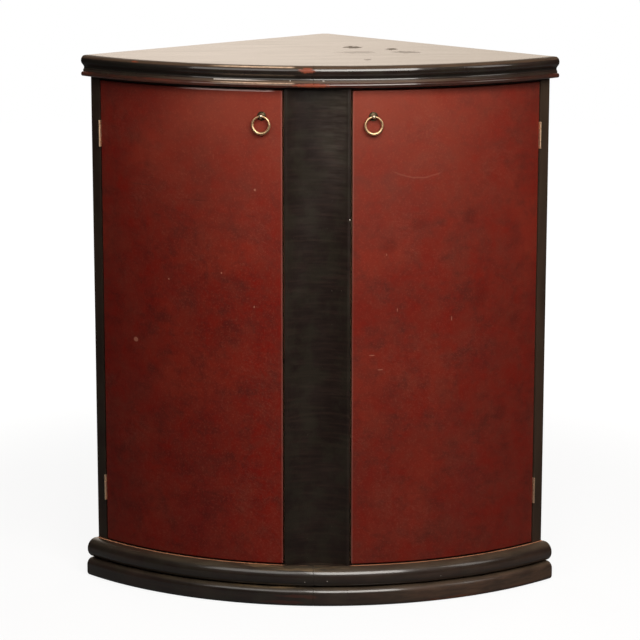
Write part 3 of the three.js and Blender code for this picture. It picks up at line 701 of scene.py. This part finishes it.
torus_section = [(0.5553, 0.066)] + arc(0.5585, 0.049, 0.017, 90, -90, 22) + [(0.5553, 0.032)]
foot_section = [(0.5553, 0.032)] + arc(0.565, 0.02, 0.012, 90, 0, 12)
foot_section += arc(0.569, 0.008, 0.008, 0, -90, 8) + [(0.5553, 0.0)]
base_black = lacquer("black lacquer, base", base_strokes, base_wear_and_highlight,
                     gloss=0.35, polish=1.0, clouds=0.55, blur=0.15)
for side, start, end in moulding_lengths:
    for word, section in (("base_torus", torus_section), ("base_foot_moulding", foot_section)):
        length = run_moulding(f"{word}_run_{side}", section, start, end, moulding_steps)
        ease_sharp(base_ease, 2, moulding_sharp)
        finish_edit(length, base_black, 35, "carcass", "black_lacquer", f"{word}_{side}")

# Doors. Each is a curved core of glued staves, and a red hide facing is laid over its front in
# paste and turned over all four edges. The hide is waxed, mottled, and marked by use.
door_front = 0.552
door_back = 0.532
door_bottom = 0.068
door_top = 0.8735
door_wall_side = 0.026
door_stile_side = 0.0575
door_run = (44.0, 5.0)
door_steps = 52
core_ease = 0.0004
hide_thickness = 0.0015
hide_turn = 0.002
hide_red = (0.205, 0.0085, 0.0045, 1.0)
hide_brown = (0.175, 0.023, 0.014, 1.0)
hide_wine = (0.12, 0.0115, 0.0125, 1.0)
hide_dark = (0.07, 0.0105, 0.008, 1.0)
hide_black = (0.02, 0.002, 0.001, 1.0)
hide_bright = (0.26, 0.028, 0.014, 1.0)
hide_paler = (0.3, 0.057, 0.033, 1.0)
hide_tanned = (0.2, 0.09, 0.055, 1.0)
hide_grain = (0.38, 0.095, 0.055, 1.0)
hide_pale = (0.42, 0.15, 0.1, 1.0)
# Greyish red of the worn inner edges, which also serves as their painted highlight.
hide_edge_wear_and_highlight = (0.36, 0.17, 0.14, 1.0)
# Greyish pink of a painted highlight on the left door's top edge.
hide_top_edge_highlight = (0.66, 0.43, 0.4, 1.0)
dark_marks = {
    "left": ((-28.0, 0.482, 1.6, 0.014), (-16.1, 0.464, 2.6, 0.02), (-21.2, 0.686, 2.7, 0.0013),
             (-32.2, 0.705, 2.6, 0.0013), (-11.5, 0.664, 0.9, 0.0012)),
    "right": ((12.6, 0.615, 1.4, 0.012), (17.9, 0.65, 1.6, 0.013), (27.35, 0.658, 1.4, 0.014),
              (29.2, 0.52, 2.0, 0.022), (37.3, 0.4735, 1.6, 0.014), (34.2, 0.316, 1.6, 0.014)),
}
light_marks = {
    "left": ((-10.8, 0.708, 0.2, 0.002), (-16.9, 0.5656, 0.14, 0.0016), (-11.0, 0.511, 0.12, 0.002),
             (-27.1, 0.548, 0.16, 0.0014), (-34.4, 0.436, 0.5, 0.004)),
    "right": ((24.0, 0.486, 0.09, 0.004), (13.97, 0.506, 0.08, 0.003), (12.0, 0.6, 0.08, 0.002),
              (9.5, 0.43, 0.5, 0.0009), (11.0, 0.405, 0.5, 0.0008)),
}
crease_lowest = (17.9, 0.7275)
crease_rise = 0.0005


def hide_finish(side):
    """Red hide, dyed unevenly, paler towards the top and the middle, with a painted shadow under
    the cornice and over the top of the left door's outer side. Its turned edges are worn, with
    painted highlights on the inner edges and on the left door's top edge, and it is marked by
    creases, scuffs and spots."""
    finish, shader, place = new_finish(f"red hide, {side} door", hide_red, 0.42,
                                       Specular_IOR_Level=0.2)
    distance, angle, height = round_place(place)
    shifted = place.stretched((1.0, 1.0, 1.0), (0.0, 0.0, 0.4 if side == "left" else 1.3))
    hue = (shifted.noise(20.0, 8.0, 0.78) - 0.5) * 3.7 + 0.5
    wrinkle = place.stretched((0.045, 0.045, 0.011), (0.0, 0.06, 0.0)).noise(1.0, 6.0, 0.7)
    depth = (shifted.noise(26.0, 7.0, 0.76, 0.3) - 0.46) * 2.7 + (wrinkle - 0.5) * 0.9
    wine = (place.noise(7.0, 6.0, 0.7) - 0.52) * 2.0
    broad = shifted.noise(6.5, 4.0, 0.55, 0.4)
    smear = place.stretched((0.02, 0.02, 0.12)).noise(1.0, 5.0, 0.65)
    fine = shifted.noise(85.0, 4.0, 0.6)
    speck = shifted.noise(260.0, 3.0, 0.6)
    colour = wine.colours(hue.colours(hide_red, hide_brown), hide_wine)
    bright = broad.fade(0.5, 0.72) * 0.5 + smear.fade(0.55, 0.75) * 0.25
    colour = bright.colours(colour, hide_bright)
    colour = (depth + speck.fade(0.6, 0.75) * 0.25).colours(colour, hide_dark)
    inward = abs(angle).fade(46.0, 14.0)
    # The hide is made paler towards the top and the middle.
    paler_up_and_in = height.fade(0.52, 0.86) * inward * (broad * 0.9 + 0.1)
    colour = paler_up_and_in.colours(colour, hide_paler)
    # Painted shadow: darker just under the cornice, and over the top of the left door's outer side.
    painted_shadow = height.fade(0.858, 0.873) * abs(angle).fade(12.0, 30.0) * 0.7
    painted_shadow = painted_shadow.greatest(height.fade(0.82, 0.87) * angle.fade(-18.0, -36.0) * 0.4)
    colour = painted_shadow.colours(colour, hide_dark)
    colour = (angle.fade(-10.0, -22.0) * 0.12).colours(colour, hide_black)
    colour = (angle.fade(0.0, 6.0) * 0.06).colours(colour, hide_tanned)
    ragged = shifted.noise(45.0, 5.0, 0.7)
    dark = (patches(angle, height, dark_marks[side]) + ragged * 3.0).fade(3.2, 1.2)
    colour = (dark * 0.4).colours(colour, hide_dark)
    grain = shifted.noise(330.0, 3.0, 0.7).fade(0.52, 0.66)
    grain = grain * (inward * 0.12 + 0.08) * (fine * 1.4 + 0.3)
    colour = grain.colours(colour, hide_grain)
    wisp = place.stretched((0.03, 0.03, 0.011), (0.3, 0.5, 0.2)).noise(1.0, 6.0, 0.7, 1.6)
    crease = (1.0 - abs(wisp - 0.5) * 60.0).fade(0.0, 1.0)
    crease = crease * shifted.noise(9.0).fade(0.5, 0.66) * 0.18
    if side == "right":
        aside = angle - crease_lowest[0]
        off = height - (aside * aside * crease_rise + crease_lowest[1])
        line = abs(off + (fine - 0.5) * 0.004).fade(0.0018, 0.0006)
        crease = crease.greatest(line * abs(aside + 0.4).fade(4.8, 3.6) * 0.2)
    colour = crease.colours(colour, hide_pale)
    # The inner edges beside the stile are worn, and are also painted lighter as a highlight.
    inner_edge = abs(angle).fade(6.35, 6.05) * (distance - door_back).fade(0.0185, 0.0195)
    rubbed = place.stretched((0.02, 0.02, 0.2)).noise(1.0, 3.0).fade(0.25, 0.6) * 0.3 + 0.16
    colour = (inner_edge * rubbed).colours(colour, hide_edge_wear_and_highlight)
    if side == "left":
        # Painted highlight along the rounded top edge of the left door.
        top_edge_highlight = height.fade(0.8706, 0.8718) * angle.band(-26.0, -20.0, -8.5, -7.0)
        colour = top_edge_highlight.colours(colour, hide_top_edge_highlight)
    spots = patches(angle, height, light_marks[side]).fade(1.3, 0.6)
    colour = (spots * 0.8).colours(colour, hide_pale)
    colour.feed(shader, "Base Color")
    (depth * 0.2 + fine * 0.14 + crease * 0.3 + 0.3).feed(shader, "Roughness")
    pores = shifted.node("ShaderNodeTexVoronoi", {"feature": "DISTANCE_TO_EDGE"},
                         {"Vector": shifted, "Scale": 620.0})
    relief = pores.fade(0.0, 0.12) * 0.12 + fine * 0.3 + depth * 0.6 - crease * 0.6
    relief.bump(0.3, 0.0005).feed(shader, "Normal")
    return finish


door_block = [(door_back, door_bottom), (door_back, door_top),
              (door_front, door_top), (door_front, door_bottom)]
for side, sign in both_sides:
    facing = run_moulding(f"hide_facing_{side}", door_block, sign * door_run[0],
                          sign * door_run[1], door_steps)
    select_mesh()
    wall_end = wall_place(sign, 0.3, door_wall_side, 0.4)
    inward = Vector((-sign * slant, -slant, 0.0))
    bpy.ops.mesh.bisect(plane_co=wall_end, plane_no=inward, use_fill=True, clear_inner=True)
    select_mesh()
    bpy.ops.mesh.bisect(plane_co=(sign * door_stile_side, 0.0, 0.4), plane_no=(sign, 0.0, 0.0),
                        use_fill=True, clear_inner=True)
    select_mesh()
    bpy.ops.mesh.normals_make_consistent(inside=False)
    bpy.ops.mesh.select_mode(type="FACE")
    bpy.ops.mesh.select_all(action="DESELECT")
    bpy.ops.object.mode_set(mode="OBJECT")
    for polygon in facing.data.polygons:
        out = polygon.center - corner
        inner = Vector((out.x, out.y)).length < door_back + 0.001
        polygon.select = inner and abs(polygon.normal.z) < 0.5
    bpy.ops.object.mode_set(mode="EDIT")
    bpy.ops.mesh.delete(type="FACE")
    ease_sharp(hide_turn, 5)
    bpy.ops.object.mode_set(mode="OBJECT")
    bpy.ops.object.modifier_add(type="SOLIDIFY")
    facing.modifiers[-1].thickness = hide_thickness
    facing.modifiers[-1].offset = -1.0
    bpy.ops.object.modifier_apply(modifier=facing.modifiers[-1].name)
    finish_edit(facing, hide_finish(side), 35, f"{side}_door", "red_hide", f"door_facing_{side}")
    eased(f"door_core_{side}", core_ease, upright_grain, "raw_wood")

# Butt hinges. Cast brass leaves with rolled knuckles, let into the post and the door's edge and
# held by three slotted countersunk screws each; a loose pin runs through the three knuckles.
leaf_height = 0.045
leaf_reach = (-0.018, -0.002)
leaf_faces = {"frame": (-0.0015, -0.0003), "door": (0.0003, 0.0015)}
leaf_ease = 0.0002
knuckles = {"frame": ((-0.0225, -0.0118), (0.0118, 0.0225)), "door": ((-0.0109, 0.0109),)}
knuckle_radius = 0.0017
knuckle_ease = 0.0003
knuckle_root = (-0.0032, -0.0008)
pin_radius = 0.0008
pin_half = 0.0228
hinge_levels = {"upper": 0.783, "lower": 0.161}
hinge_line = (0.55343359, 0.025)
screw_radius = 0.0021
screw_thick = 0.0012
screw_sunk = 0.00052
screw_slot = (0.0063, 0.000546, 0.0008)
screw_seats = ((-0.0128, -0.016, 0.5), (-0.0092, 0.0, 1.4), (-0.0128, 0.016, 2.3))
brass_gold = (1.0, 0.73, 0.51, 1.0)
brass_brown = (0.66, 0.44, 0.25, 1.0)


def brass_finish(name, gold, brown, roughness):
    """Old brass, tarnished in clouds and specks."""
    finish, shader, place = new_finish(name, gold, roughness, Metallic=1.0)
    cloud = place.noise(220.0, 4.0, 0.6)
    speck = place.noise(1400.0, 3.0, 0.7)
    tarnish = cloud.fade(0.4, 0.7) * 0.6 + speck.fade(0.5, 0.75) * 0.3
    tarnish.colours(gold, brown).feed(shader, "Base Color")
    (cloud * 0.2 + speck * 0.15 + (roughness - 0.12)).feed(shader, "Roughness")
    speck.bump(0.12, 0.0001).feed(shader, "Normal")
    return finish


def join_pieces(pieces, name):
    deselect()
    for piece in pieces:
        piece.select_set(True)
    bpy.context.view_layer.objects.active = pieces[0]
    bpy.ops.object.join()
    pieces[0].name = name
    pieces[0].data.name = name
    return pieces[0]


def cut_out(piece, cutter):
    """Takes the cutter's shape out of the piece."""
    bpy.context.view_layer.objects.active = piece
    cut = piece.modifiers.new("cut", "BOOLEAN")
    cut.object = cutter
    cut.operation = "DIFFERENCE"
    bpy.ops.object.modifier_apply(modifier=cut.name)
    bpy.data.objects.remove(cutter)


def eased_box(low, high, width):
    """A cube pulled to these corners, its edges bevelled."""
    middle = (Vector(low) + Vector(high)) / 2
    deselect()
    bpy.ops.mesh.primitive_cube_add(size=1.0, location=middle)
    piece = bpy.context.object
    piece.scale = Vector(high) - Vector(low)
    bpy.ops.object.transform_apply(location=True, rotation=True, scale=True)
    bpy.ops.object.mode_set(mode="EDIT")
    select_mesh()
    bpy.ops.mesh.bevel(offset=width, segments=2, affect="EDGES")
    bpy.ops.object.mode_set(mode="OBJECT")
    return piece


def eased_barrel(radius, low, high, width, sides=40):
    """An upright cylinder between two heights, its rims bevelled."""
    deselect()
    bpy.ops.mesh.primitive_cylinder_add(vertices=sides, radius=radius, depth=high - low,
                                        location=(0.0, 0.0, (low + high) / 2))
    piece = bpy.context.object
    bpy.ops.object.transform_apply(location=True, rotation=True, scale=True)
    bpy.ops.object.mode_set(mode="EDIT")
    ease_sharp(width, 3, 60)
    bpy.ops.object.mode_set(mode="OBJECT")
    return piece


def slotted_screw(turn):
    """A countersunk head: a flat disc with an eased rim and a slot cut across it."""
    deselect()
    bpy.ops.mesh.primitive_cylinder_add(vertices=24, radius=screw_radius, depth=screw_thick)
    head = bpy.context.object
    bpy.ops.object.mode_set(mode="EDIT")
    ease_sharp(leaf_ease, 2, 60)
    bpy.ops.object.mode_set(mode="OBJECT")
    deselect()
    bpy.ops.mesh.primitive_cube_add(size=1.0, location=(0.0, 0.0, screw_thick / 2),
                                    rotation=(0.0, 0.0, turn))
    slot_cutter = bpy.context.object
    slot_cutter.scale = screw_slot
    cut_out(head, slot_cutter)
    return head


hinge_brass = brass_finish("aged brass, hinges", brass_gold, brass_brown, 0.46)
for side, sign in both_sides:
    for word, level in hinge_levels.items():
        stand = wall_matrix(sign, hinge_line[0], hinge_line[1], level)
        for leaf, (near, far) in leaf_faces.items():
            low = (leaf_reach[0], near, -leaf_height / 2)
            high = (leaf_reach[1], far, leaf_height / 2)
            parts = [eased_box(low, high, leaf_ease)]
            for bottom, top in knuckles[leaf]:
                low = (knuckle_root[0], near, bottom)
                high = (knuckle_root[1], far, top)
                parts.append(eased_barrel(knuckle_radius, bottom, top, knuckle_ease))
                parts.append(eased_box(low, high, leaf_ease))
            leaf_face, way = (far, 1) if leaf == "frame" else (near, -1)
            flat = Matrix.Rotation(-way * math.pi / 2, 4, "X")
            for across, up, turn in screw_seats:
                screw = slotted_screw(turn)
                seat = Matrix.Translation((across, leaf_face - way * screw_sunk, up))
                screw.data.transform(seat @ flat)
                parts.append(screw)
            piece = join_pieces(parts, f"{word}_hinge_{side}_{leaf}_cast")
            put_in_place(piece, stand)
            body = "carcass" if leaf == "frame" else f"{side}_door"
            finish_edit(piece, hinge_brass, 40, body, "aged_brass",
                        f"{word}_hinge_{side}_{leaf}_leaf")
        pin = eased_barrel(pin_radius, -pin_half, pin_half, knuckle_ease, 24)
        pin.name = f"{word}_hinge_{side}_loose_pin"
        put_in_place(pin, stand)
        finish_edit(pin, hinge_brass, 40, "carcass", "aged_brass", f"{word}_hinge_{side}_pin")

# Ring pulls. A turned rosette under a post with a drilled ball head, and a cast ring, thin at
# the top and thickest at the bottom, that hangs in the ball; a nut inside the door holds all.
eye_height = 0.831
eye_out = 0.007
eye_radius = 0.00215
ring_radius = 0.0142
ring_thin = 0.0015
ring_thick = 0.0029
ring_unit = 0.001
ball_radius = 0.00375
ball_steps = 14
post_neck = 0.0022
post_shank = (0.002, -0.027)
pull_angle = math.degrees(0.092 / door_front)
pull_seat = 0.0003
door_face = corner.y - door_front
nut_ease = 0.0004
ring_gold = (0.86, 0.6, 0.35, 1.0)
ring_brown = (0.45, 0.28, 0.13, 1.0)
rosette_bronze = (0.11, 0.085, 0.05, 1.0)
rosette_black = (0.035, 0.026, 0.017, 1.0)
post_gold = (0.86, 0.78, 0.6, 1.0)
post_brown = (0.36, 0.3, 0.2, 1.0)


def turned_piece(name, section, steps):
    """A section of (radius, distance out from the door's face) spun about the pull's axis."""
    points = [Vector((0.0, door_face - out, eye_height + radius)) for radius, out in section]
    piece = draw_outline(name, points)
    bpy.ops.mesh.delete(type="ONLY_FACE")
    select_mesh()
    bpy.ops.mesh.spin(steps=steps, angle=math.tau, center=(0.0, door_face, eye_height),
                      axis=(0, 1, 0))
    select_mesh()
    bpy.ops.mesh.remove_doubles(threshold=weld_gap)
    bpy.ops.mesh.normals_make_consistent(inside=False)
    bpy.ops.object.mode_set(mode="OBJECT")
    return piece


ring_brass = brass_finish("aged brass, pulls", ring_gold, ring_brown, 0.4)
rosette_brass = brass_finish("dark brass, rosettes", rosette_bronze, rosette_black, 0.42)
post_brass = brass_finish("aged brass, posts", post_gold, post_brown, 0.34)
rosette_section = [(0.0, pull_seat), (0.0075, pull_seat), (0.0075, 0.0009)]
rosette_section += arc(0.0067, 0.0011, 0.0008, 0, 150, 6)
rosette_section += [(0.0056, 0.0012), (0.0044, 0.0017), (0.0032, 0.0021), (0.0, 0.0022)]
neck_turn = math.degrees(math.asin(post_neck / ball_radius))
post_section = [(0.0, post_shank[1]), post_shank, (post_shank[0], pull_seat),
                (post_neck, pull_seat)]
post_section += arc(0.0, eye_out, ball_radius, neck_turn - 90, 90, ball_steps)
for side, sign in both_sides:
    pull_turn = Matrix.Rotation(math.radians(sign * pull_angle), 4, "Z")
    about_corner = Matrix.Translation(corner) @ pull_turn @ Matrix.Translation(-corner)

    rosette = turned_piece(f"turned_rosette_{side}", rosette_section, 48)
    rosette.data.transform(about_corner)
    finish_edit(rosette, rosette_brass, 40, f"{side}_door", "dark_brass", f"pull_{side}_rosette")

    post = turned_piece(f"ball_post_{side}", post_section, 36)
    deselect()
    bpy.ops.mesh.primitive_cylinder_add(vertices=32, radius=eye_radius, depth=0.012,
                                        location=(0.0, door_face - eye_out, eye_height),
                                        rotation=(0.0, math.pi / 2, 0.0))
    cut_out(post, bpy.context.object)
    post.data.transform(about_corner)
    finish_edit(post, post_brass, 40, f"{side}_door", "aged_brass", f"pull_{side}_post")

    deselect()
    ring_middle = (0.0, door_face - eye_out, eye_height - ring_radius)
    bpy.ops.curve.primitive_bezier_circle_add(radius=ring_radius, location=ring_middle,
                                              rotation=(math.pi / 2, 0.0, 0.0))
    ring = bpy.context.object
    bpy.ops.object.transform_apply(location=True, rotation=True, scale=True)
    ring.data.resolution_u = 16
    ring.data.bevel_depth = ring_unit
    ring.data.bevel_resolution = 8
    for point in ring.data.splines[0].bezier_points:
        drop = (eye_height - point.co.z) / (2 * ring_radius)
        point.radius = (ring_thin + (ring_thick - ring_thin) * drop) / ring_unit
    bpy.ops.object.convert(target="MESH")
    ring = bpy.context.object
    ring.name = f"cast_ring_{side}"
    ring.data.transform(about_corner)
    finish_edit(ring, ring_brass, 60, f"{side}_ring", "aged_brass", f"pull_{side}_ring")
    eased(f"pull_{side}_nut", nut_ease, ring_brass, "aged_brass")

# Catches. A small brown magnet case is screwed under the header by its ears, and meets a plated
# strike plate on the back of each door.
case_ease = 0.0005
strike_ease = 0.0002
case_colour = (0.045, 0.026, 0.017, 1.0)
plate_colour = (0.52, 0.53, 0.54, 1.0)
plate_scratches = (0.02, 0.02, 0.0004)
case_brown, shader, place = new_finish("brown moulded case", case_colour, 0.5)
place.noise(900.0, 2.0).bump(0.1, 0.0001).feed(shader, "Normal")
plated, shader, place = new_finish("zinc plate", plate_colour, 0.38, Metallic=1.0)
(place.stretched(plate_scratches).noise(1.0, 3.0) * 0.3 + 0.22).feed(shader, "Roughness")
for side in ("left", "right"):
    eased(f"catch_case_{side}", case_ease, case_brown, "brown_plastic")
    eased(f"catch_strike_{side}", strike_ease, plated, "zinc_steel")

# The room. A sheet of pale paper lies under and behind the cupboard and runs into a white
# backdrop. Three soft lamps stand in front and two at the back by the walls' sides. The polish
# mirrors the front lamps and what stands behind, and the rest of the room is dim.
white = (1.0, 1.0, 1.0, 1.0)
floor_middle = (0.0, 2.6, -0.0002)
floor_size = (5.0, 6.8, 1.0)
paper_grey = (0.16, 0.16, 0.16, 1.0)
room_dim = 0.07
mirrored_dim = 0.04
room_left = (1.0, 0.86, 0.73, 1.0)
room_right = (0.83, 0.71, 0.59, 1.0)
lamp_colour = (1.0, 0.955, 0.9)
lamp_aim = (0.0, -0.2, 0.5)
focal_pixels = 2574.4
picture_width = 640.0
sensor_width = 36.0
camera_place = (0.1088, -4.4498, 1.3654)
yaw = math.radians(-1.424)
pitch = math.radians(11.781)
roll = math.radians(0.059)


def light_rays(tree):
    """1 for a ray from the camera, for a mirrored one, and for one through a clear piece."""
    camera_ray = Tone(tree).node("ShaderNodeLightPath", output="Is Camera Ray")
    outputs = camera_ray.socket.node.outputs
    return (camera_ray, Tone(tree, outputs["Is Glossy Ray"]),
            Tone(tree, outputs["Is Transmission Ray"]))


scene = bpy.context.scene
scene.view_settings.view_transform = "Standard"
deselect()
bpy.ops.mesh.primitive_plane_add(size=1.0, location=floor_middle)
floor = bpy.context.object
floor.name = "studio_floor"
floor.scale = floor_size
bpy.ops.object.transform_apply(location=True, rotation=True, scale=True)
floor_paper, shader, place = new_finish("pale floor", paper_grey, 0.9, Specular_IOR_Level=0.0)
floor.data.materials.append(floor_paper)
camera_ray, glossy, through = light_rays(floor_paper.node_tree)
seen = camera_ray.greatest(through, glossy * place.part(1).fade(1.2, 2.4))
far = place.node("ShaderNodeVectorMath", {"operation": "LENGTH"}, {0: place}, 1).fade(0.75, 1.9)
shader.inputs["Emission Color"].default_value = white
(seen * (far * 0.12 + 0.88)).feed(shader, "Emission Strength")

world = bpy.data.worlds.new("studio")
scene.world = world
world.use_nodes = True
sky = world.node_tree.nodes["Background"]
camera_ray, glossy, through = light_rays(world.node_tree)
way = Tone(world.node_tree).node("ShaderNodeTexCoord", output="Generated")
warm = way.part(0).fade(-0.07, 0.07).colours(room_left, room_right)
glossy.colours(white, warm).feed(sky, "Color")
seen = camera_ray.greatest(through, glossy * way.part(1).fade(0.5, 0.85))
room = room_dim - glossy * mirrored_dim
(seen * (1.0 - room) + room).feed(sky, "Strength")


def soft_lamp(name, place, aim, wide, tall, power, mirrored=True):
    """A rectangular lamp that the camera doesn't see. The power is in watts."""
    lamp = bpy.data.lights.new(name, "AREA")
    lamp.shape = "RECTANGLE"
    lamp.size = wide
    lamp.size_y = tall
    lamp.energy = power
    lamp.color = lamp_colour
    holder = bpy.data.objects.new(name, lamp)
    bpy.context.scene.collection.objects.link(holder)
    holder.location = place
    holder.rotation_euler = (Vector(aim) - Vector(place)).to_track_quat("-Z", "Y").to_euler()
    holder.visible_camera = False
    holder.visible_glossy = mirrored


soft_lamp("key lamp", (0.4, -1.45, 1.55), lamp_aim, wide=1.1, tall=1.0, power=23.6)
soft_lamp("left lamp", (-0.72, -1.35, 1.5), lamp_aim, wide=1.1, tall=0.9, power=5.0)
soft_lamp("right lamp", (1.7, -0.9, 1.5), lamp_aim, wide=0.5, tall=0.9, power=2.6)
for side, sign in both_sides:
    soft_lamp(f"{side} wall lamp", (sign * 1.9, 2.1, 0.5), (sign * 0.1, 0.0, 0.45),
              wide=1.6, tall=0.8, power=38.0, mirrored=False)

camera = bpy.data.cameras.new("camera")
camera.sensor_fit = "HORIZONTAL"
camera.sensor_width = sensor_width
camera.lens = sensor_width * focal_pixels / picture_width
camera.clip_end = 100.0
viewer = bpy.data.objects.new("camera", camera)
scene.collection.objects.link(viewer)
ahead = Vector((math.sin(yaw) * math.cos(pitch), math.cos(yaw) * math.cos(pitch), -math.sin(pitch)))
level_right = Vector((math.cos(yaw), -math.sin(yaw), 0.0))
level_up = level_right.cross(ahead)
right = level_right * math.cos(roll) + level_up * math.sin(roll)
up = level_up * math.cos(roll) - level_right * math.sin(roll)
turned = Matrix((right, up, -ahead)).transposed().to_4x4()
viewer.matrix_world = Matrix.Translation(camera_place) @ turned
scene.camera = viewer
